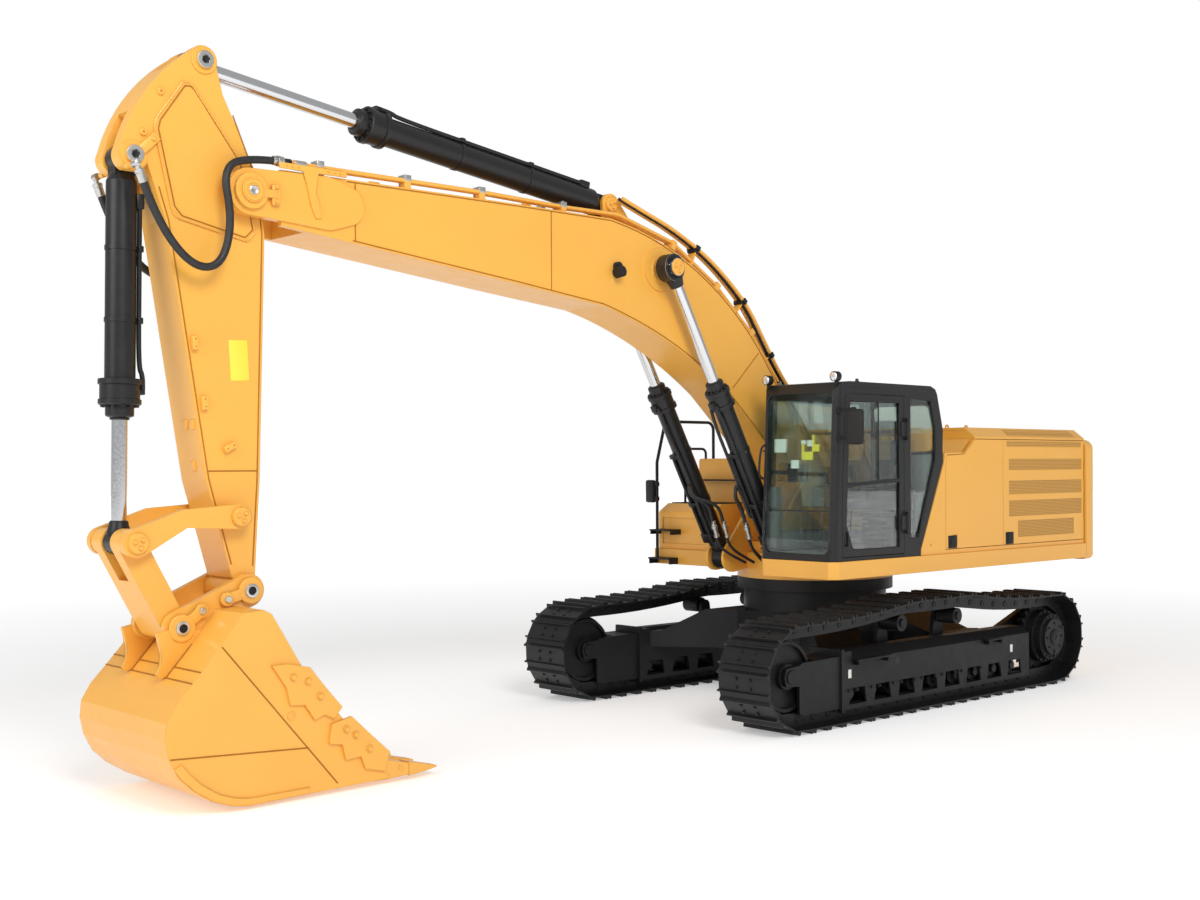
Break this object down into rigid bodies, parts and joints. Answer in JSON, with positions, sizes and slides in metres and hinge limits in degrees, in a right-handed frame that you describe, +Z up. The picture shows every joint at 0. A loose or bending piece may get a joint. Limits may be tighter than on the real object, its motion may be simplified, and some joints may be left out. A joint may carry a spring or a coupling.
{
  "type": "crawler excavator",
  "caption": "Large crawler excavator: steel tracks, turning upper body with glazed cab, two-piece arm with hydraulic cylinders and a toothed digging bucket, joints on every moving part",
  "frame": {"origin": "On the ground, at the middle of the whole machine's box in length and width, in the parked pose", "axes": "+X runs ahead to the boom and bucket, +Y to the machine's left where the cab is, +Z up"},
  "size_m": [11.5898, 3.34, 5.4928],
  "materials": {
    "yellow_paint": "semi-gloss warm construction yellow",
    "black_paint": "satin charcoal black",
    "cylinder_paint": "satin black enamel",
    "cab_paint": "satin dark grey",
    "track_steel": "dark painted steel",
    "chrome_rod": "polished hard chrome",
    "tinted_glass": "lightly green-tinted safety glass",
    "black_plastic": "matte moulded black",
    "seat_fabric": "woven grey seat cloth",
    "engine_alloy": "plain grey casting",
    "zinc_fitting": "zinc-plated hose fitting",
    "hose_rubber": "black hose cover"
  },
  "bodies": {
    "undercarriage": {"track_left": "track_steel", "track_right": "track_steel", "idlers": "black_paint", "sprockets": "black_paint", "final_drives": "black_paint", "track_rollers": "black_paint", "carrier_rollers": "black_paint", "track_frame_left": "black_paint", "track_frame_right": "black_paint", "car_body": "black_paint"},
    "upper": {"deck": "yellow_paint", "boom_bracket": "yellow_paint", "bracket_pins": "yellow_paint", "counterweight": "yellow_paint", "house": "yellow_paint", "engine": "engine_alloy", "right_boxes": "yellow_paint", "right_treads": "black_paint", "handrails": "black_paint", "cab_frame": "cab_paint", "cab_glass": "tinted_glass", "cab_lamps": "black_plastic", "seat": "seat_fabric", "consoles": "black_plastic"},
    "left_front_door": {"left_front_door": "yellow_paint"},
    "left_rear_door": {"left_rear_door": "yellow_paint"},
    "right_rear_door": {"right_rear_door": "yellow_paint"},
    "engine_lid": {"engine_lid": "yellow_paint"},
    "cab_door": {"cab_door": "cab_paint", "cab_door_glass": "tinted_glass"},
    "boom": {"boom": "yellow_paint", "boom_pins": "yellow_paint", "boom_pipes": "yellow_paint", "boom_lamp": "black_plastic", "hose_left": "hose_rubber", "hose_right": "hose_rubber", "hose_elbows": "zinc_fitting"},
    "stick": {"stick": "yellow_paint", "stick_pins": "yellow_paint"},
    "idler_arms": {"idler_arms": "yellow_paint"},
    "bucket_link": {"bucket_link": "yellow_paint"},
    "bucket": {"bucket_shell": "yellow_paint", "bucket_pins": "yellow_paint", "bucket_teeth": "yellow_paint", "side_cutters": "yellow_paint"},
    "lift_barrel_left": {"lift_barrel_left": "cylinder_paint"},
    "lift_rod_left": {"lift_rod_left": "chrome_rod"},
    "lift_barrel_right": {"lift_barrel_right": "cylinder_paint"},
    "lift_rod_right": {"lift_rod_right": "chrome_rod"},
    "stick_barrel": {"stick_barrel": "cylinder_paint"},
    "stick_rod": {"stick_rod": "chrome_rod"},
    "bucket_barrel": {"bucket_barrel": "cylinder_paint"},
    "bucket_rod": {"bucket_rod": "chrome_rod"}
  },
  "joints": [
    {"name": "swing", "type": "hinge", "parent": "undercarriage", "child": "upper", "pos_m": [-2.035, 0, 1.2303], "axis": [0, 0, 1], "continuous": true},
    {"name": "boom_lift", "type": "hinge", "parent": "upper", "child": "boom", "pos_m": [-1.735, 0, 2.2], "axis": [0, -1, 0], "range_deg": [-50, 38]},
    {"name": "stick_crowd", "type": "hinge", "parent": "boom", "child": "stick", "pos_m": [4.8, 0, 4.452], "axis": [0, 1, 0], "range_deg": [-80, 36]},
    {"name": "bucket_curl", "type": "hinge", "parent": "stick", "child": "bucket", "pos_m": [4.803, 0, 1.507], "axis": [0, 1, 0], "range_deg": [-78, 83]},
    {"name": "cab_door_swing", "type": "hinge", "parent": "upper", "child": "cab_door", "pos_m": [-1.67, 1.494, 2.3], "axis": [0, 0, 1], "range_deg": [0, 150]},
    {"name": "left_front_door_swing", "type": "hinge", "parent": "upper", "child": "left_front_door", "pos_m": [-3.37, 1.455, 2], "axis": [0, 0, 1], "range_deg": [0, 100]},
    {"name": "left_rear_door_swing", "type": "hinge", "parent": "upper", "child": "left_rear_door", "pos_m": [-5.045, 1.455, 2], "axis": [0, 0, 1], "range_deg": [0, 100]},
    {"name": "right_rear_door_swing", "type": "hinge", "parent": "upper", "child": "right_rear_door", "pos_m": [-4.975, -1.455, 2], "axis": [0, 0, -1], "range_deg": [0, 100]},
    {"name": "engine_lid_lift", "type": "hinge", "parent": "upper", "child": "engine_lid", "pos_m": [-4.695, 0, 2.785], "axis": [0, -1, 0], "range_deg": [0, 70]},
    {"name": "lift_barrel_left_tilt", "type": "hinge", "parent": "upper", "child": "lift_barrel_left", "pos_m": [-1.035, 0.4, 1.45], "axis": [0, -1, 0], "range_deg": [-48.2, 36.7]},
    {"name": "lift_rod_left_stroke", "type": "slide", "parent": "lift_barrel_left", "child": "lift_rod_left", "axis": [0.4863, 0, 0.8738], "range_m": [-0.842, 0.6404]},
    {"name": "lift_barrel_right_tilt", "type": "hinge", "parent": "upper", "child": "lift_barrel_right", "pos_m": [-1.035, -0.4, 1.45], "axis": [0, -1, 0], "range_deg": [-48.2, 36.7]},
    {"name": "lift_rod_right_stroke", "type": "slide", "parent": "lift_barrel_right", "child": "lift_rod_right", "axis": [0.4863, 0, 0.8738], "range_m": [-0.842, 0.6404]},
    {"name": "stick_barrel_tilt", "type": "hinge", "parent": "boom", "child": "stick_barrel", "pos_m": [1.015, 0, 4.835], "axis": [0, -1, 0], "range_deg": [-1.2, 0.6]},
    {"name": "stick_rod_stroke", "type": "slide", "parent": "stick_barrel", "child": "stick_rod", "axis": [0.9911, 0, 0.1334], "range_m": [-1.2632, 0.5696]},
    {"name": "idler_arms_swing", "type": "hinge", "parent": "stick", "child": "idler_arms", "pos_m": [4.885, 0, 2.055], "axis": [0, -1, 0], "range_deg": [-59.2, 55.6]},
    {"name": "bucket_link_swing", "type": "hinge", "parent": "bucket", "child": "bucket_link", "pos_m": [5.343, 0, 1.272], "axis": [0, -1, 0], "range_deg": [-62.9, 67]},
    {"name": "bucket_barrel_tilt", "type": "hinge", "parent": "stick", "child": "bucket_barrel", "pos_m": [5.633, 0, 4.621], "axis": [0, -1, 0], "range_deg": [-2.6, 2.4]},
    {"name": "bucket_rod_stroke", "type": "slide", "parent": "bucket_barrel", "child": "bucket_rod", "axis": [0.0135, 0, -0.9999], "range_m": [-0.695, 0.7394]}
  ],
  "couplings": [
    {"joint": "lift_barrel_left_tilt", "follows": "boom_lift", "ratio": 0.96115},
    {"joint": "lift_rod_left_stroke", "follows": "boom_lift", "m_per_rad": 0.9626},
    {"joint": "lift_barrel_right_tilt", "follows": "boom_lift", "ratio": 0.96115},
    {"joint": "lift_rod_right_stroke", "follows": "boom_lift", "m_per_rad": 0.9626},
    {"joint": "stick_barrel_tilt", "follows": "stick_crowd", "ratio": 0.012662},
    {"joint": "stick_rod_stroke", "follows": "stick_crowd", "m_per_rad": 0.90329},
    {"joint": "idler_arms_swing", "follows": "bucket_curl", "ratio": -0.71123},
    {"joint": "bucket_link_swing", "follows": "bucket_curl", "ratio": 0.80498},
    {"joint": "bucket_barrel_tilt", "follows": "bucket_curl", "ratio": -0.029061},
    {"joint": "bucket_rod_stroke", "follows": "bucket_curl", "m_per_rad": 0.50903}
  ]
}
